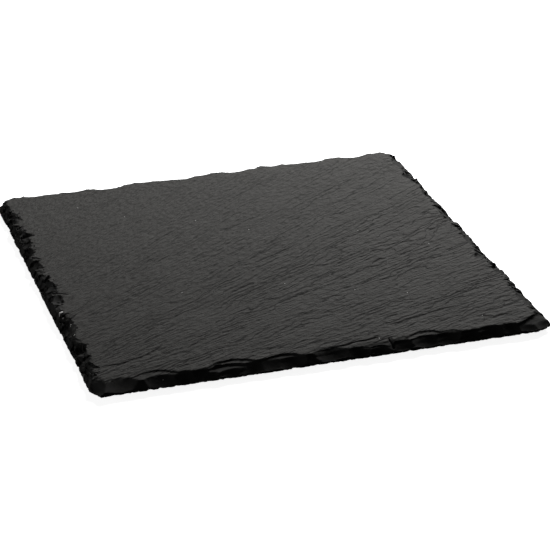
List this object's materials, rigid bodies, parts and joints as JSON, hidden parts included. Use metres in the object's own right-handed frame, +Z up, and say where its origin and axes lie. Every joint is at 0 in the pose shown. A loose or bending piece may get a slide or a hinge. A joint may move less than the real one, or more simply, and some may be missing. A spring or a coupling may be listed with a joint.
{
  "type": "slate serving board",
  "caption": "Square riven slate serving board with hand-flaked edges, standing on stick-on foam feet, for serving or displaying food.",
  "frame": {"origin": "on the table surface under the middle of the board, at the level of the feet's undersides", "axes": "+X to the right along the front edge, +Y towards the back, +Z up out of the serving face"},
  "size_m": [0.3, 0.3, 0.0092],
  "materials": {
    "slate": "matte, riven",
    "foot_foam": "matte, fine-celled",
    "foot_adhesive": "satin"
  },
  "bodies": {
    "root": {"slate_slab": "slate", "foot_pad_front_left": "foot_foam", "foot_pad_front_right": "foot_foam", "foot_pad_rear_right": "foot_foam", "foot_pad_rear_left": "foot_foam", "foot_adhesive_front_left": "foot_adhesive", "foot_adhesive_front_right": "foot_adhesive", "foot_adhesive_rear_right": "foot_adhesive", "foot_adhesive_rear_left": "foot_adhesive"}
  },
  "joints": []
}
